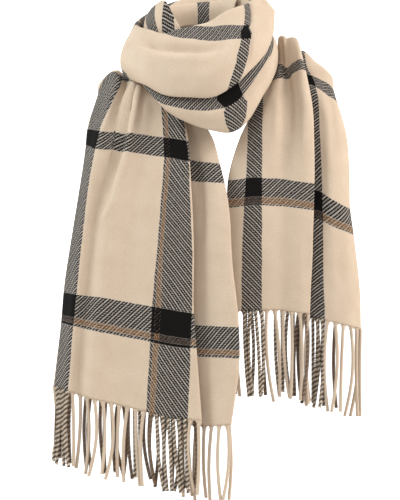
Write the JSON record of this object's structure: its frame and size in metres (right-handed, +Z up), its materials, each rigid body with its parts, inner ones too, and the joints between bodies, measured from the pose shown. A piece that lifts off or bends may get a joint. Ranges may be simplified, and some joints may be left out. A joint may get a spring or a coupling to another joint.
{
  "type": "blanket scarf",
  "caption": "Woven window-pane check blanket scarf wound round the neck in a deep front loop, with two fringed ends hanging down the chest.",
  "frame": {"origin": "the nape, where the scarf's inner turn lies on the back of the wearer's neck and holds it up", "axes": "+Z up along the neck, -Y to the wearer's front, +X to the viewer's right as seen from the front"},
  "size_m": [0.4641, 0.2604, 0.7762],
  "materials": {
    "front_loop": "soft brushed wool, cream ground with black and white twill bands",
    "back_turn": "soft brushed wool, cream ground with black and white twill bands",
    "inner_turn": "soft brushed wool, cream ground with black and white twill bands",
    "left_end": "soft brushed wool, cream ground with black and white twill bands",
    "right_end": "soft brushed wool, cream ground with black and white twill bands",
    "left_fringe": "twisted yarn, cream and black and white marl",
    "right_fringe": "twisted yarn, cream and black and white marl"
  },
  "bodies": {
    "root": {"front_loop": "front_loop", "back_turn": "back_turn", "inner_turn": "inner_turn", "left_end": "left_end", "right_end": "right_end", "left_fringe": "left_fringe", "right_fringe": "right_fringe"}
  },
  "joints": []
}
